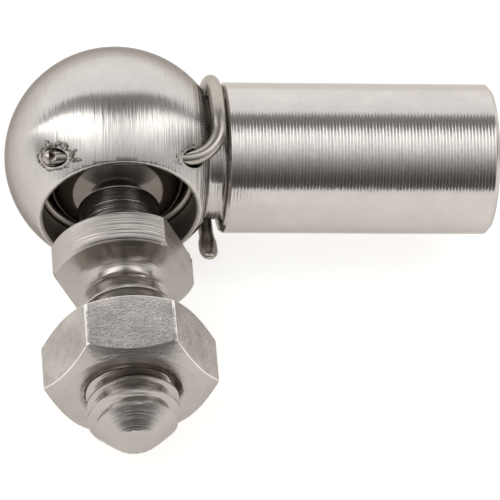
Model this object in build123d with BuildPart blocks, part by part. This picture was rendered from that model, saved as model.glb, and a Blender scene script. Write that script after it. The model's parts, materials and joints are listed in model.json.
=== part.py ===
from build123d import *
from math import acos, asin, cos, degrees, radians, sin, sqrt, tan
import os

# An angle ball joint with safety clip: a ball socket turned from bar, the ball stud that
# swivels in it, the spring ring that holds the ball, the wire clip that locks it, and a nut.
# Millimetres. Origin at the ball's centre, +X along the shank to its threaded mouth,
# -Y out of the socket's mouth, +Z up as the joint lies on a bench.

# --- Ball and stud ---
BALL_D = 10.0
NECK_D = 5.2
COLLAR_D = 9.4
COLLAR_FLATS = 7.8          # takes an 8 mm spanner
COLLAR_TURN = 26.5          # degrees from +X to the flats' normal, about the stud
COLLAR_GAP = 0.4            # head to the collar's back, along the stud
COLLAR_THICKNESS = 2.3
COLLAR_EDGE = 0.15
SEAT_FILLET = 0.8           # concave fillet from the seat into the undercut
UNDERCUT_D = 4.4
UNDERCUT_FLOOR = 0.05       # plain stretch between that fillet and the thread's start
THREAD_D = 5.94             # M6 crest, just under 6
THREAD_LENGTH = 12.5        # collar's seat to the thread's end
END_FLAT_D = 2.7            # flat left by the stud's 45 degree point
STUD_LEAN = 4.3             # degrees that the stud sags below square as the joint lies

# --- Socket ---
BALL_CLEARANCE = 0.06       # radial, ball in its seat and in the bore
HEAD_WALL = 2.24            # behind the ball's seat
MOUTH_LAND = 0.34           # between the clip's cross hole and the flat mouth
SHANK_D = 10.0
SHANK_END = 25.0            # ball centre to the shank's end
GROOVE_WALL = 0.59          # between the bore and the clip's groove, along the shank
GROOVE_DEPTH = 0.52         # below the head's edge
GROOVE_FILLET = 0.35
SHOULDER_EDGE = 0.15
END_EDGE = 0.3
TAP_DRILL_D = 5.0           # M6 core hole
THREAD_DEPTH = 11.5         # full core hole, below the shank's end
SINK = 0.65                 # countersink's radius past the core hole
DRILL_POINT = 118.0         # degrees

# --- Spring ring in the socket bore ---
RING_WIRE_D = 0.8
RING_DEPTH = 2.2            # ball centre to the ring's plane, towards the mouth
RING_CLEARANCE = 0.05       # ring wire to ball
RING_GROOVE_CLEARANCE = 0.1
RING_GAP = 2.4              # between the ring's two ends

# --- Safety clip ---
CLIP_WIRE_D = 1.0
CLIP_BALL_CLEARANCE = 0.1   # straight leg to ball
CLIP_HOLE_CLEARANCE = 0.15  # radial, wire in its cross hole
CLIP_ANGLE = 131.5          # degrees from +Y round to the leg, about the shank's axis
CLIP_PROUD = 0.6            # leg's end, proud of the head
CLIP_FLOOR_CLEARANCE = 0.4  # loop's wire to the groove's floor
CLIP_SIDE_CLEARANCE = 0.175 # loop's wire to the groove's sides
CLIP_STEP = 0.6             # loop's centre line to the leg's, away from the shank's axis
CLIP_BEND_R = 1.5           # wire centre line, leg to loop
CLIP_TAIL = 4.4             # straight tail that leaves the loop
CLIP_LOOP_END = 100.0       # degrees that the loop runs past the back of the neck
CLIP_END_EDGE = 0.12

# --- Hexagon nut ---
NUT_FLATS = 9.8
NUT_HEIGHT = 4.7
NUT_GAP = 4.25              # collar's seat to the nut's inner face, room for a lever
NUT_FACE_D = 8.9            # flat washer face left by the chamfers
NUT_CHAMFER = 35.0          # degrees
NUT_TURN = 4.7              # degrees from +X to a corner, about the stud
NUT_CORNER_R = 0.25
NUT_BORE_CLEARANCE = 0.05   # radial, on the stud's thread
NUT_SINK = 0.33             # countersink's radius past the bore

# --- Worked out from the sizes above ---
ball_r = BALL_D / 2
seat_r = ball_r + BALL_CLEARANCE
head_r = seat_r + HEAD_WALL
shank_r = SHANK_D / 2
clip_wire_r = CLIP_WIRE_D / 2
clip_hole_r = clip_wire_r + CLIP_HOLE_CLEARANCE
groove_start = seat_r + GROOVE_WALL
groove_x = groove_start + CLIP_SIDE_CLEARANCE + clip_wire_r
shoulder_x = groove_x + CLIP_SIDE_CLEARANCE + clip_wire_r
groove_side_r = sqrt(head_r**2 - groove_start**2)
groove_r = groove_side_r - GROOVE_DEPTH
clip_loop_r = groove_r + CLIP_FLOOR_CLEARANCE + clip_wire_r
# The clip's leg clears the ball, and stands out past its own loop.
clip_reach = max(ball_r + CLIP_BALL_CLEARANCE + clip_wire_r, clip_loop_r + CLIP_STEP)
clip_leg_y = clip_reach * cos(radians(CLIP_ANGLE))
clip_leg_z = clip_reach * sin(radians(CLIP_ANGLE))
mouth_depth = MOUTH_LAND + clip_hole_r - clip_leg_y
ring_wire_r = RING_WIRE_D / 2
ring_r = sqrt((ball_r + RING_CLEARANCE + ring_wire_r) ** 2 - RING_DEPTH**2)
neck_r = NECK_D / 2
neck_start = sqrt(ball_r**2 - neck_r**2)
collar_r = COLLAR_D / 2
collar_back = head_r + COLLAR_GAP
collar_seat = collar_back + COLLAR_THICKNESS
undercut_r = UNDERCUT_D / 2
thread_r = THREAD_D / 2
thread_start = collar_seat + SEAT_FILLET + UNDERCUT_FLOOR + thread_r - undercut_r
stud_length = collar_seat + THREAD_LENGTH
nut_bore_r = thread_r + NUT_BORE_CLEARANCE
nut_start = collar_seat + NUT_GAP
nut_end = nut_start + NUT_HEIGHT

# The stud's own axis and planes: local y runs along the stud in the section plane, and
# local z runs along it in the planes that cut across it, with local y upwards.
lean = radians(STUD_LEAN)
stud_dir = Vector(0, -cos(lean), -sin(lean))
stud_axis = Axis((0, 0, 0), stud_dir)
stud_section = Plane(origin=(0, 0, 0), x_dir=(1, 0, 0), z_dir=(0, sin(lean), -cos(lean)))


def across_stud(station):
    """The plane square to the stud, this far from the ball's centre."""
    return Plane(origin=stud_dir * station, x_dir=(1, 0, 0), z_dir=stud_dir)


os.makedirs("parts", exist_ok=True)

# --- Ball socket: head, clip groove and shank in one turned piece ---
with BuildPart() as socket_housing:
    with BuildSketch(Plane.XY) as turned_profile:
        with BuildLine():
            head_mid = (head_r * cos(radians(80)), head_r * sin(radians(80)))
            ThreePointArc((-head_r, 0), head_mid, (groove_start, groove_side_r))
            Polyline(
                (groove_start, groove_side_r),
                (groove_start, groove_r),
                (shoulder_x, groove_r),
                (shoulder_x, shank_r),
                (SHANK_END, shank_r),
                (SHANK_END, 0),
                (-head_r, 0),
            )
        make_face()
        rim_corners = turned_profile.vertices().group_by(Axis.Y)[-1].sort_by(Axis.X)
        groove_corners = turned_profile.vertices().filter_by_position(
            Axis.Y, groove_r, groove_r
        )
        chamfer(rim_corners[0], length=SHOULDER_EDGE)
        chamfer(rim_corners[-1], length=END_EDGE)
        fillet(groove_corners, radius=GROOVE_FILLET)
    revolve(axis=Axis.X)

    # The mouth is faced flat; the cutter stays clear of the shank.
    with BuildSketch(Plane.XZ.offset(mouth_depth)):
        with Locations((groove_start - head_r, 0)):
            Rectangle(2 * head_r, 2 * head_r)
    extrude(amount=head_r, mode=Mode.SUBTRACT)

    # Bore down to the ball's centre, then the ball's own round seat, with the ring's groove.
    with BuildSketch(Plane.XY):
        with BuildLine():
            groove_half = ring_wire_r + RING_GROOVE_CLEARANCE
            ring_groove_r = ring_r + groove_half
            seat_mid = (seat_r * cos(radians(45)), seat_r * sin(radians(45)))
            ThreePointArc((0, seat_r), seat_mid, (seat_r, 0))
            Polyline(
                (seat_r, 0),
                (seat_r, groove_half - RING_DEPTH),
                (ring_groove_r, groove_half - RING_DEPTH),
                (ring_groove_r, -groove_half - RING_DEPTH),
                (seat_r, -groove_half - RING_DEPTH),
                (seat_r, -head_r),
                (0, -head_r),
                (0, seat_r),
            )
        make_face()
    revolve(axis=Axis.Y, mode=Mode.SUBTRACT)

    # Cross hole for the clip's straight leg, through both walls of the head.
    with BuildSketch(Plane.YZ.offset(groove_x)):
        with Locations((clip_leg_y, clip_leg_z)):
            Circle(clip_hole_r)
    extrude(amount=-(groove_x + head_r), mode=Mode.SUBTRACT)

    # Core hole for the rod's thread, with its drill point and countersink.
    with BuildSketch(Plane.XY):
        with BuildLine():
            core_r = TAP_DRILL_D / 2
            core_end = SHANK_END - THREAD_DEPTH
            point = core_r / tan(radians(DRILL_POINT / 2))
            Polyline(
                (core_end - point, 0),
                (core_end, core_r),
                (SHANK_END - SINK, core_r),
                (SHANK_END, core_r + SINK),
                (SHANK_END, 0),
                (core_end - point, 0),
            )
        make_face()
    revolve(axis=Axis.X, mode=Mode.SUBTRACT)

# --- Ball stud: ball, neck, collar with two spanner flats, undercut and thread ---
with BuildPart() as ball_stud:
    with BuildSketch(stud_section):
        with BuildLine():
            point = thread_r - END_FLAT_D / 2
            ThreePointArc((0, -ball_r), (ball_r, 0), (neck_r, neck_start))
            Polyline(
                (neck_r, neck_start),
                (neck_r, collar_back),
                (collar_r - COLLAR_EDGE, collar_back),
                (collar_r, collar_back + COLLAR_EDGE),
                (collar_r, collar_seat - COLLAR_EDGE),
                (collar_r - COLLAR_EDGE, collar_seat),
                (undercut_r + SEAT_FILLET, collar_seat),
            )
            RadiusArc(
                (undercut_r + SEAT_FILLET, collar_seat),
                (undercut_r, collar_seat + SEAT_FILLET),
                SEAT_FILLET,
            )
            Polyline(
                (undercut_r, collar_seat + SEAT_FILLET),
                (undercut_r, collar_seat + SEAT_FILLET + UNDERCUT_FLOOR),
                (thread_r, thread_start),
                (thread_r, stud_length - point),
                (END_FLAT_D / 2, stud_length),
                (0, stud_length),
                (0, -ball_r),
            )
        make_face()
    revolve(axis=stud_axis)

    # Spanner flats, milled on two sides of the collar only.
    with BuildSketch(across_stud(collar_back)):
        with PolarLocations(COLLAR_FLATS / 2 + collar_r / 2, 2, start_angle=COLLAR_TURN):
            Rectangle(collar_r, COLLAR_D)
    extrude(amount=COLLAR_THICKNESS, mode=Mode.SUBTRACT)

# --- Spring ring: an open ring of round wire in the socket's groove ---
with BuildPart() as spring_ring:
    gap_turn = degrees(2 * asin(RING_GAP / 2 / ring_r))
    # The ring's gap is centred at the top, so its section stands half a gap past it.
    with BuildSketch(Plane.YZ.rotated((0, gap_turn / 2, 0))):
        with Locations((-RING_DEPTH, ring_r)):
            Circle(ring_wire_r)
    revolve(axis=Axis.Y, revolution_arc=360 - gap_turn)

# --- Safety clip: one bent wire, leg through the head and loop round the groove ---
with BuildPart() as safety_clip:
    # In the loop's plane local x is +Y and local y is +Z.
    loop_plane = Plane(origin=(groove_x, 0, 0), x_dir=(0, 1, 0), z_dir=(1, 0, 0))
    leg_x = sqrt(head_r**2 - clip_reach**2) + CLIP_PROUD
    join_turn = CLIP_ANGLE - degrees(acos(clip_loop_r / clip_reach))
    with BuildLine(loop_plane) as clip_path:
        loop = CenterArc(
            (0, 0), clip_loop_r, start_angle=join_turn, arc_size=-(join_turn + CLIP_LOOP_END)
        )
        FilletPolyline(
            (clip_leg_y, clip_leg_z, -(groove_x + leg_x)),
            (clip_leg_y, clip_leg_z, 0),
            (clip_loop_r * cos(radians(join_turn)), clip_loop_r * sin(radians(join_turn)), 0),
            radius=CLIP_BEND_R,
        )
        PolarLine(
            (
                clip_loop_r * cos(radians(CLIP_LOOP_END)),
                -clip_loop_r * sin(radians(CLIP_LOOP_END)),
            ),
            CLIP_TAIL,
            -(CLIP_LOOP_END + 90),
        )
    leg_end = Plane(origin=(-leg_x, clip_leg_y, clip_leg_z), z_dir=(1, 0, 0))
    with BuildSketch(leg_end):
        Circle(clip_wire_r)
    sweep(path=clip_path.wire())
    chamfer(safety_clip.faces().filter_by(GeomType.PLANE).edges(), length=CLIP_END_EDGE)

# --- Hexagon nut: both faces chamfered, bore countersunk at both ends ---
with BuildPart() as hex_nut:
    with BuildSketch(across_stud(nut_start)):
        RegularPolygon(NUT_FLATS / 2, 6, major_radius=False, rotation=NUT_TURN)
    extrude(amount=NUT_HEIGHT)
    fillet(hex_nut.edges().filter_by(stud_axis), radius=NUT_CORNER_R)
    with BuildSketch(stud_section):
        with BuildLine():
            face_r = NUT_FACE_D / 2
            corner_r = NUT_FLATS / 2 / cos(radians(30))
            drop = (corner_r - face_r) * tan(radians(NUT_CHAMFER))
            Polyline(
                (nut_bore_r + NUT_SINK, nut_start),
                (face_r, nut_start),
                (corner_r, nut_start + drop),
                (corner_r, nut_end - drop),
                (face_r, nut_end),
                (nut_bore_r + NUT_SINK, nut_end),
                (nut_bore_r, nut_end - NUT_SINK / 2),
                (nut_bore_r, nut_start + NUT_SINK / 2),
                (nut_bore_r + NUT_SINK, nut_start),
            )
        make_face()
    revolve(axis=stud_axis, mode=Mode.INTERSECT)

socket_housing.part.label = "socket_housing"
export_step(socket_housing.part, "parts/socket_housing.step")
ball_stud.part.label = "ball_stud"
export_step(ball_stud.part, "parts/ball_stud.step")
spring_ring.part.label = "spring_ring"
export_step(spring_ring.part, "parts/spring_ring.step")
safety_clip.part.label = "safety_clip"
export_step(safety_clip.part, "parts/safety_clip.step")
hex_nut.part.label = "hex_nut"
export_step(hex_nut.part, "parts/hex_nut.step")
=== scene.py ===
"""Angle ball joint with safety clip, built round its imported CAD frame.

Laid out as an add-on: sizes and finishes are properties, each piece is one operator.
Shapes are worked out in millimetres and moved to metres when a piece is finished.
"""
import json
import math

import bmesh
import bpy
import numpy as np
from mathutils import Euler, Matrix, Vector


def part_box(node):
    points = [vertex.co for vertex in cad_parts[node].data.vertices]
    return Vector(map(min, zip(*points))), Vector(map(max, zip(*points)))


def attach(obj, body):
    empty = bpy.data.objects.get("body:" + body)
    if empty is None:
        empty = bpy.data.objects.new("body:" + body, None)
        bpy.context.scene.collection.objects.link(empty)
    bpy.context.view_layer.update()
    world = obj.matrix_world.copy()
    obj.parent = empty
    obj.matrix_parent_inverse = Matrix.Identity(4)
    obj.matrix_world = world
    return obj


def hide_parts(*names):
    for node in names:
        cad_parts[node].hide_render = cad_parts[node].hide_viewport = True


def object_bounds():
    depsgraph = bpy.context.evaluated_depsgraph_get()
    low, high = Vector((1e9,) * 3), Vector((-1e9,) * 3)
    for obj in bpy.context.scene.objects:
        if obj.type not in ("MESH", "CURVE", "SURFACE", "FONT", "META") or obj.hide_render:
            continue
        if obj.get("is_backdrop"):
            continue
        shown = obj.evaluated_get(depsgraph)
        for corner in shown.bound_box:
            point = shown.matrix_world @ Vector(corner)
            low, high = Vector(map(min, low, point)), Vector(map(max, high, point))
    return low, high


bl_info = {
    "name": "Angle ball joint",
    "version": (1, 0, 0),
    "blender": (4, 5, 0),
    "location": "View3D > Sidebar > Ball joint",
    "description": "Builds a stainless angle ball joint with nut and safety clip",
    "category": "Add Mesh",
}

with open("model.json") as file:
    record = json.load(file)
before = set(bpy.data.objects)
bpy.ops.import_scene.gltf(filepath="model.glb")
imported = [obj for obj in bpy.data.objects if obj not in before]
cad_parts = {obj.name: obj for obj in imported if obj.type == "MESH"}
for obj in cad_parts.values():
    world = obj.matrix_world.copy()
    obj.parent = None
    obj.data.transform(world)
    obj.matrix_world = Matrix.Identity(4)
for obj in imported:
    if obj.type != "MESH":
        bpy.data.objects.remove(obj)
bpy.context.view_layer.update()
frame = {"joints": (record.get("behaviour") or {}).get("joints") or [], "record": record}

MM = 0.001
WELD = 0.002            # mm, points nearer than this are one
FINE = 1e-9
CREASE = math.radians(32)
CLIP_WIRE = 1.0         # mm, the safety clip's wire
FLANK = 0.3125          # of the pitch, one flank of a 60 degree thread
LAND = 0.05             # mm, plain length between a fillet and the thread
PLAY = 0.05             # mm, between the nut and the stud that it runs on
HAIR = 0.001            # mm, too little to see
PATCHES = 450.0         # to the metre: cloudy patches of about 2 mm on every metal

# --- Where the frame says the pieces are, in millimetres ---
MOUNTS = {mount["name"]: mount for mount in frame["record"]["mounts"]}
JOINTS = {joint["name"]: joint for joint in frame["joints"]}
housing_low, housing_high = (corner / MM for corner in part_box("socket_housing"))
ring_low, ring_high = (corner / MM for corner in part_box("spring_ring"))
_, clip_high = (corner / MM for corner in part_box("safety_clip"))
nut_low, nut_high = (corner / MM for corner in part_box("hex_nut"))

STUD_DIR = Vector(MOUNTS["stud_thread"]["axis"]).normalized()
STUD_TURN = tuple(STUD_DIR.rotation_difference(Vector((1, 0, 0))).to_euler("XYZ"))
STUD_UP = Vector((1, 0, 0)).cross(STUD_DIR) * -1
SEAT_STATION = Vector(MOUNTS["collar_seat"]["pos_m"]).dot(STUD_DIR) / MM
THREAD_MID = Vector(MOUNTS["stud_thread"]["pos_m"]).dot(STUD_DIR) / MM
THREAD_LAST = THREAD_MID + MOUNTS["stud_thread"]["dims"]["length_mm"] / 2
CREST_R = MOUNTS["stud_thread"]["dims"]["r_mm"]
NUT_MID = ((nut_low + nut_high) / 2).dot(STUD_DIR)
LEG_AT = Vector(JOINTS["clip_swing"]["pos_m"]) / MM
HEAD_R = housing_high.z
SHANK_END = housing_high.x
MOUTH = -housing_low.y
CLIP_PLANE = clip_high.x - CLIP_WIRE / 2

# Columns: the two directions across the piece, then the direction that its stations run.
ALONG_STUD = np.array([(1, 0, 0), STUD_UP, STUD_DIR], float).T
ALONG_SHANK = np.array([(0, 1, 0), (0, 0, 1), (1, 0, 0)], float).T
INTO_SHANK = np.array([(0, 1, 0), (0, 0, -1), (-1, 0, 0)], float).T
OUT_OF_MOUTH = np.array([(1, 0, 0), (0, 0, 1), (0, -1, 0)], float).T


def linear(code):
    """An sRGB hex colour as the linear colour that a shader takes."""
    parts = [int(code[i : i + 2], 16) / 255 for i in (1, 3, 5)]
    return [c / 12.92 if c < 0.04045 else ((c + 0.055) / 1.055) ** 2.4 for c in parts] + [1]


def add(tree, kind, inputs=None, **settings):
    """Adds a node: settings are its own, and inputs are values, or the sockets to link.

    A node given as an input is linked by its first output.
    """
    node = tree.nodes.new(kind)
    for name, value in settings.items():
        setattr(node, name, value)
    for name, value in (inputs or {}).items():
        if isinstance(value, bpy.types.Node):
            value = value.outputs[0]
        if isinstance(value, bpy.types.NodeSocket):
            tree.links.new(value, node.inputs[name])
        else:
            node.inputs[name].default_value = value
    return node


# --- Sizes and finishes that a user would change ---
def length(name, text, value):
    """A size in metres, given here in millimetres."""
    return bpy.props.FloatProperty(
        name=name, description=text, default=value * MM, unit="LENGTH", precision=5
    )


def angle(name, text, degrees):
    """An angle, given here in degrees."""
    return bpy.props.FloatProperty(
        name=name, description=text, default=math.radians(degrees), subtype="ANGLE"
    )


def colour(name, text, code):
    """A colour, kept as its sRGB hex code."""
    return bpy.props.StringProperty(name=name, description=text + ", sRGB hex", default=code)


class SocketSizes(bpy.types.PropertyGroup):
    shank: length("Shank diameter", "Outside of the threaded shank", 10.0)
    bore: length("Bore diameter", "Bore that the ball swivels in", 10.12)
    groove_near: length("Groove start", "Ball centre to the groove's head side", 5.65)
    groove_far: length("Groove end", "Ball centre to the shank's shoulder", 7.0)
    groove: length("Groove diameter", "Floor of the safety clip's groove", 8.2)
    rim_edge: length("Rim edge", "Edge break round the mouth", 0.07)
    core: length("Core hole", "Smallest diameter of the inside thread", 5.0)
    depth: length("Thread depth", "Shank's end to the end of the core hole", 11.5)
    sink: length("Countersink", "Countersink diameter at the shank's end", 6.3)
    hole: length("Clip hole", "Cross hole for the clip's leg", 1.3)


class StudSizes(bpy.types.PropertyGroup):
    ball: length("Ball diameter", "Polished ball", 10.0)
    neck: length("Neck diameter", "Between ball and collar", 5.2)
    collar: length("Collar diameter", "Outside of the collar", 9.4)
    collar_back: length("Collar back", "Ball centre to the collar's back", 7.7)
    flats: length("Spanner flats", "Across the collar's two flats", 7.8)
    flats_turn: angle("Flats' turn", "From +X to the flats, about the stud", 26.5)
    undercut: length("Undercut diameter", "Relief between collar and thread", 4.4)
    fillet: length("Seat fillet", "From the collar's seat into the undercut", 0.8)
    pitch: length("Thread pitch", "Metric coarse pitch for this size", 1.0)
    end_flat: length("End flat", "Flat left by the stud's point", 2.7)
    start: bpy.props.FloatProperty(
        name="Thread start", description="Turn at which the thread starts, 0 to 1", default=0.55
    )


class NutSizes(bpy.types.PropertyGroup):
    flats: length("Across flats", "Between opposite flats", 9.8)
    height: length("Height", "Face to face", 4.7)
    face: length("Washer face", "Flat left by the chamfers", 8.9)
    chamfer: angle("Chamfer", "Angle of the chamfers that round the corners off", 35)
    turn: angle("Turn", "From +X to a corner, about the stud", 4.7)
    corner: length("Corner radius", "Worn radius down each corner", 0.25)


class WireSizes(bpy.types.PropertyGroup):
    clip_wire: length("Clip wire", "Diameter of the safety clip's wire", CLIP_WIRE)
    loop: length("Loop radius", "Wire's centre line round the groove", 5.0)
    bend: length("Bend radius", "Leg to loop", 2.3)
    tail: length("Tail", "Straight end that the clip is lifted by", 4.4)
    proud: length("Leg end", "How far the leg stands out of the head", 0.6)
    ring_gap: length("Ring gap", "Between the spring ring's ends", 2.4)


class Finishes(bpy.types.PropertyGroup):
    steel: colour("Steel", "Stainless steel's colour", "#C1BCB8")
    wire: colour("Wire", "Drawn spring wire's colour", "#A9A39B")
    formed: colour("Cold-formed", "Colour of faces left as formed", "#C0BAB5")
    # The ball's dark colour: a film of grease, and painted shade for the socket round it.
    greased_and_shaded: colour("Greased_and_shaded", "Colour of the ball under its grease", "#716A63")
    turned: colour("Turned", "Colour of the stud and the nut's faces", "#B1ABA6")
    # Lighter colour for the nut's edges and corners: a painted highlight.
    painted_edge: colour("Worn", "Colour of corners rubbed bright", "#E2DEDA")
    bored: colour("Bored", "Colour inside the bore", "#A39C95")
    feed: length("Feed", "Distance between the lathe's feed marks", 0.22)


class Studio(bpy.types.PropertyGroup):
    azimuth: angle("Azimuth", "Camera's turn round the joint", -12.01)
    elevation: angle("Elevation", "Camera's height above the horizon", 49.6)
    roll: angle("Roll", "Camera's turn about its own line of sight", 9.42)
    distance: length("Distance", "Camera to the ball's centre, along its line of sight", 320.0)
    right: length("Right", "Ball's centre right of the line of sight", -8.93)
    up: length("Up", "Ball's centre above the line of sight", 6.15)
    lens: bpy.props.FloatProperty(
        name="Lens", description="Focal length in millimetres", default=349.0
    )
    floor: colour("Floor", "Floor's colour", "#BDBCBA")


GROUPS = {
    "joint_socket": SocketSizes,
    "joint_stud": StudSizes,
    "joint_nut": NutSizes,
    "joint_wires": WireSizes,
    "joint_finish": Finishes,
    "joint_studio": Studio,
}


def sizes(context, group):
    """A group's lengths in millimetres and its other values as they are."""
    settings, found = getattr(context.scene, group), {}
    for name, prop in settings.bl_rna.properties.items():
        if name in ("rna_type", "name"):
            continue
        value = getattr(settings, name)
        found[name] = value / MM if getattr(prop, "unit", "NONE") == "LENGTH" else value
    return type(group, (), found)


# --- Shapes ---
def profile(corners, steps=4):
    """(station, radius) points of a turned outline, each (station, radius, edge) corner rounded."""
    points = [np.array(corner[:2], float) for corner in corners]
    line = []
    for i, corner in enumerate(corners):
        edge = corner[2] if len(corner) > 2 else 0
        if not edge or i in (0, len(corners) - 1):
            line.append(points[i])
            continue
        before, after = points[i - 1] - points[i], points[i + 1] - points[i]
        before, after = before / np.linalg.norm(before), after / np.linalg.norm(after)
        half = math.acos(np.clip(before @ after, -1, 1)) / 2
        middle = (before + after) / np.linalg.norm(before + after)
        centre = points[i] + middle * edge / math.sin(half)
        first = points[i] + before * edge / math.tan(half) - centre
        last = points[i] + after * edge / math.tan(half) - centre
        sweep = math.pi - 2 * half
        for k in range(steps + 1):
            share = k / steps
            part = math.sin((1 - share) * sweep) * first + math.sin(share * sweep) * last
            line.append(centre + part / math.sin(sweep))
    return np.array(line)


def arc(radius, first, last, steps):
    """(station, radius) points of a round outline about the origin, angles from +station."""
    turns = np.radians(np.linspace(first, last, steps + 1))
    return [(radius * math.cos(t), radius * math.sin(t)) for t in turns]


def turned(outline, sides):
    """Rings of points: an outline turned about its own stations, in local space."""
    turns = np.arange(sides) * 2 * math.pi / sides
    outline = np.asarray(outline, float)
    across = np.stack([np.cos(turns), np.sin(turns)], -1)
    flat = outline[:, 1][:, None, None] * across[None]
    along = np.broadcast_to(outline[:, 0][:, None, None], flat.shape[:2] + (1,))
    return np.concatenate([flat, along], -1)


def about_stud(turn):
    """The stud's own space, turned about it."""
    c, n = math.cos(turn), math.sin(turn)
    return ALONG_STUD @ np.array([(c, -n, 0), (n, c, 0), (0, 0, 1)])


def skin(rings, basis, kinds=None):
    """A mesh over rings of points, turned from local space to the piece's own.

    kinds gives each band between two rings its material's number.
    """
    count, sides = rings.shape[:2]
    index = np.arange(count * sides).reshape(count, sides)
    after = np.roll(index, -1, 1)
    quads = np.stack([index[:-1], after[:-1], after[1:], index[1:]], -1).reshape(-1, 4)
    mesh = bpy.data.meshes.new("rings")
    mesh.from_pydata((rings.reshape(-1, 3) @ basis.T).tolist(), [], quads.tolist())
    if kinds is not None:
        mesh.polygons.foreach_set("material_index", np.repeat(kinds, sides).astype(np.int32))
    return mesh


def joined(meshes):
    """One welded mesh of several, its faces turned outwards."""
    whole = bmesh.new()
    for mesh in meshes:
        whole.from_mesh(mesh)
        bpy.data.meshes.remove(mesh)
    bmesh.ops.remove_doubles(whole, verts=whole.verts, dist=WELD)
    bmesh.ops.dissolve_degenerate(whole, dist=WELD / 4, edges=whole.edges)
    bmesh.ops.recalc_face_normals(whole, faces=whole.faces)
    mesh = bpy.data.meshes.new("joined")
    whole.to_mesh(mesh)
    whole.free()
    return mesh


def linked(name, mesh):
    piece = bpy.data.objects.new(name, mesh)
    bpy.context.scene.collection.objects.link(piece)
    return piece


def evaluated(piece):
    """The piece as its modifiers leave it, as a plain mesh; the piece itself is removed."""
    bpy.context.view_layer.update()
    graph = bpy.context.evaluated_depsgraph_get()
    mesh = bpy.data.meshes.new_from_object(piece.evaluated_get(graph))
    rough = piece.data
    bpy.data.objects.remove(piece)
    bpy.data.meshes.remove(rough)
    return mesh


def cut(mesh, cutters):
    """The mesh with each cutter taken away from it."""
    for cutter in cutters:
        body, tool = linked("body", mesh), linked("tool", cutter)
        taking = body.modifiers.new("cut", "BOOLEAN")
        taking.operation, taking.solver, taking.object = "DIFFERENCE", "EXACT", tool
        mesh = evaluated(body)
        bpy.data.objects.remove(tool)
        bpy.data.meshes.remove(cutter)
    return mesh


def grown(tree, start, **values):
    """A Geometry Nodes tree run on a mesh, each named input set by its socket's identifier."""
    piece = linked("grown", start)
    run = piece.modifiers.new("grow", "NODES")
    run.node_group = tree
    for item in tree.interface.items_tree:
        key = item.name.lower().replace(" ", "_")
        if item.in_out == "INPUT" and key in values:
            run[item.identifier] = values.pop(key)
    if values:
        raise RuntimeError(f"the tree {tree.name} has no input for {sorted(values)}")
    return evaluated(piece)


def named_inputs(tree, numbers):
    """Gives the tree its geometry in and out, its material and its named numbers."""
    tree.interface.new_socket("Geometry", in_out="OUTPUT", socket_type="NodeSocketGeometry")
    tree.interface.new_socket("Geometry", in_out="INPUT", socket_type="NodeSocketGeometry")
    tree.interface.new_socket("Material", in_out="INPUT", socket_type="NodeSocketMaterial")
    for name, value in numbers.items():
        kind = "NodeSocketInt" if isinstance(value, int) else "NodeSocketFloat"
        socket = tree.interface.new_socket(name, in_out="INPUT", socket_type=kind)
        socket.default_value = value
    return add(tree, "NodeGroupInput").outputs


def ends_in(tree, geometry, material):
    """Every tree ends in Realize Instances and Set Material."""
    smooth = add(tree, "GeometryNodeSetShadeSmooth", {"Geometry": geometry})
    real = add(tree, "GeometryNodeRealizeInstances", {"Geometry": smooth})
    finish = add(tree, "GeometryNodeSetMaterial", {"Geometry": real, "Material": material})
    add(tree, "NodeGroupOutput", {"Geometry": finish})
    return tree


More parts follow.
